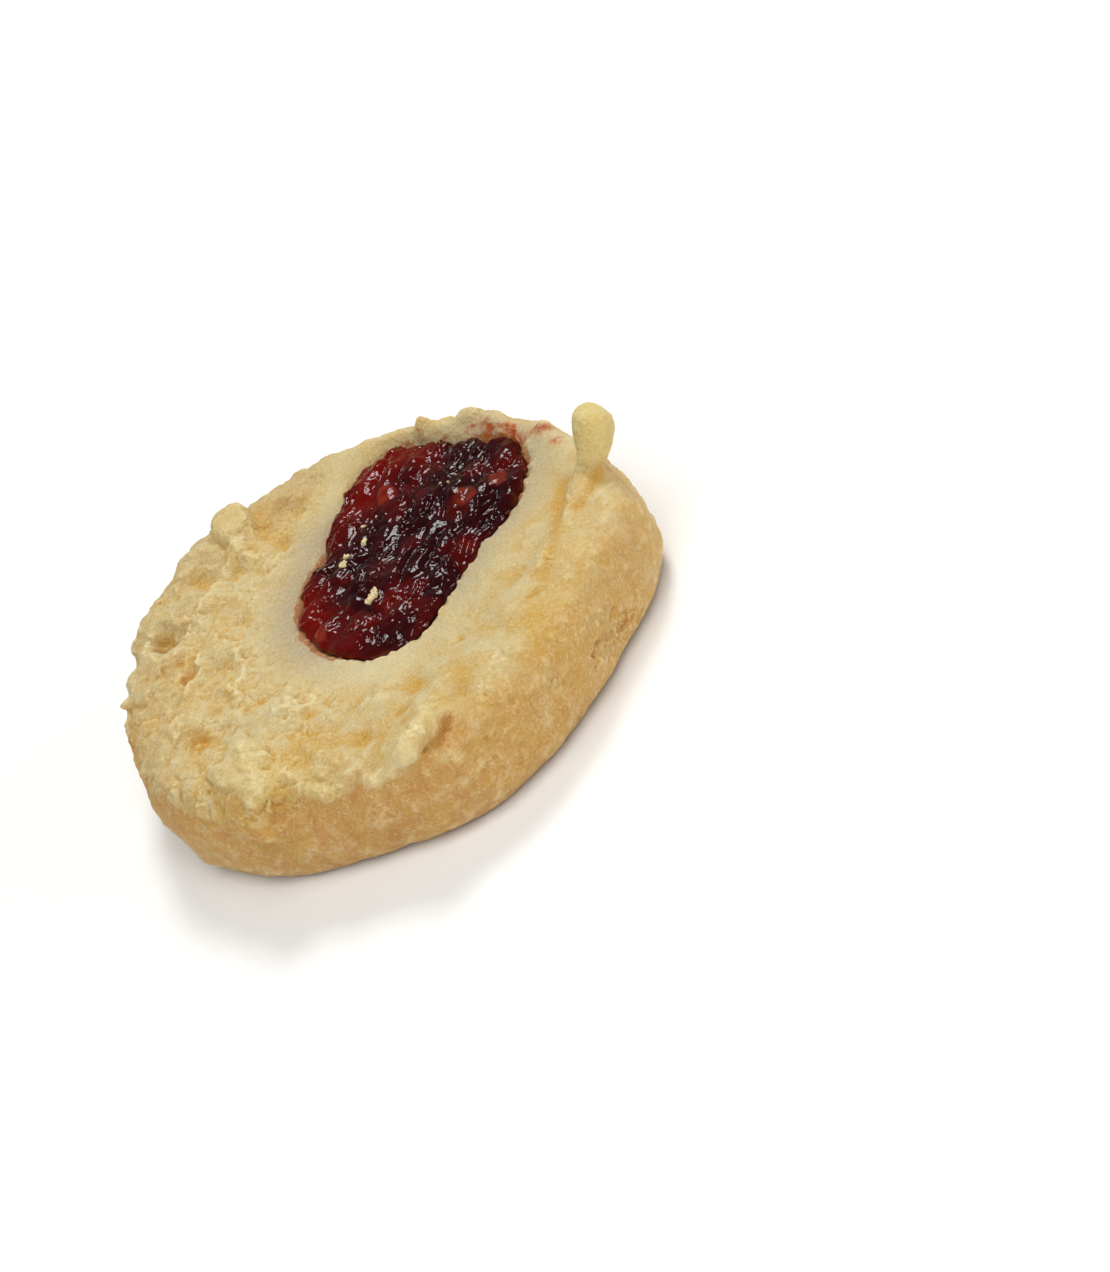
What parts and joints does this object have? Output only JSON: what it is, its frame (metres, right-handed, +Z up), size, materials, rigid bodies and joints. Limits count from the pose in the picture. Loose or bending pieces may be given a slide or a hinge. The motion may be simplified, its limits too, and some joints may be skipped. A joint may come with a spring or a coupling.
{
  "type": "jam cookie",
  "caption": "Round piped butter cookie with crumbly ridges, pulled-up ends at its rim and a glossy pool of red jam in a shallow off-centre hollow, resting flat.",
  "frame": {"origin": "centre of the flat baked base", "axes": "+Z up out of the jam side, +X to the viewer's right and +Y away from the viewer when the pulled-up tail at the rim is on the right and the jam lies towards the far side"},
  "size_m": [0.0565, 0.054, 0.0168],
  "materials": {
    "dough": "baked butter dough, pale on top and golden brown on its wall and base, dry and crumbly",
    "jam": "set red berry jam, dark, wet and glossy, with seeds and wrinkles"
  },
  "bodies": {
    "root": {"biscuit": "dough", "jam": "jam"}
  },
  "joints": []
}
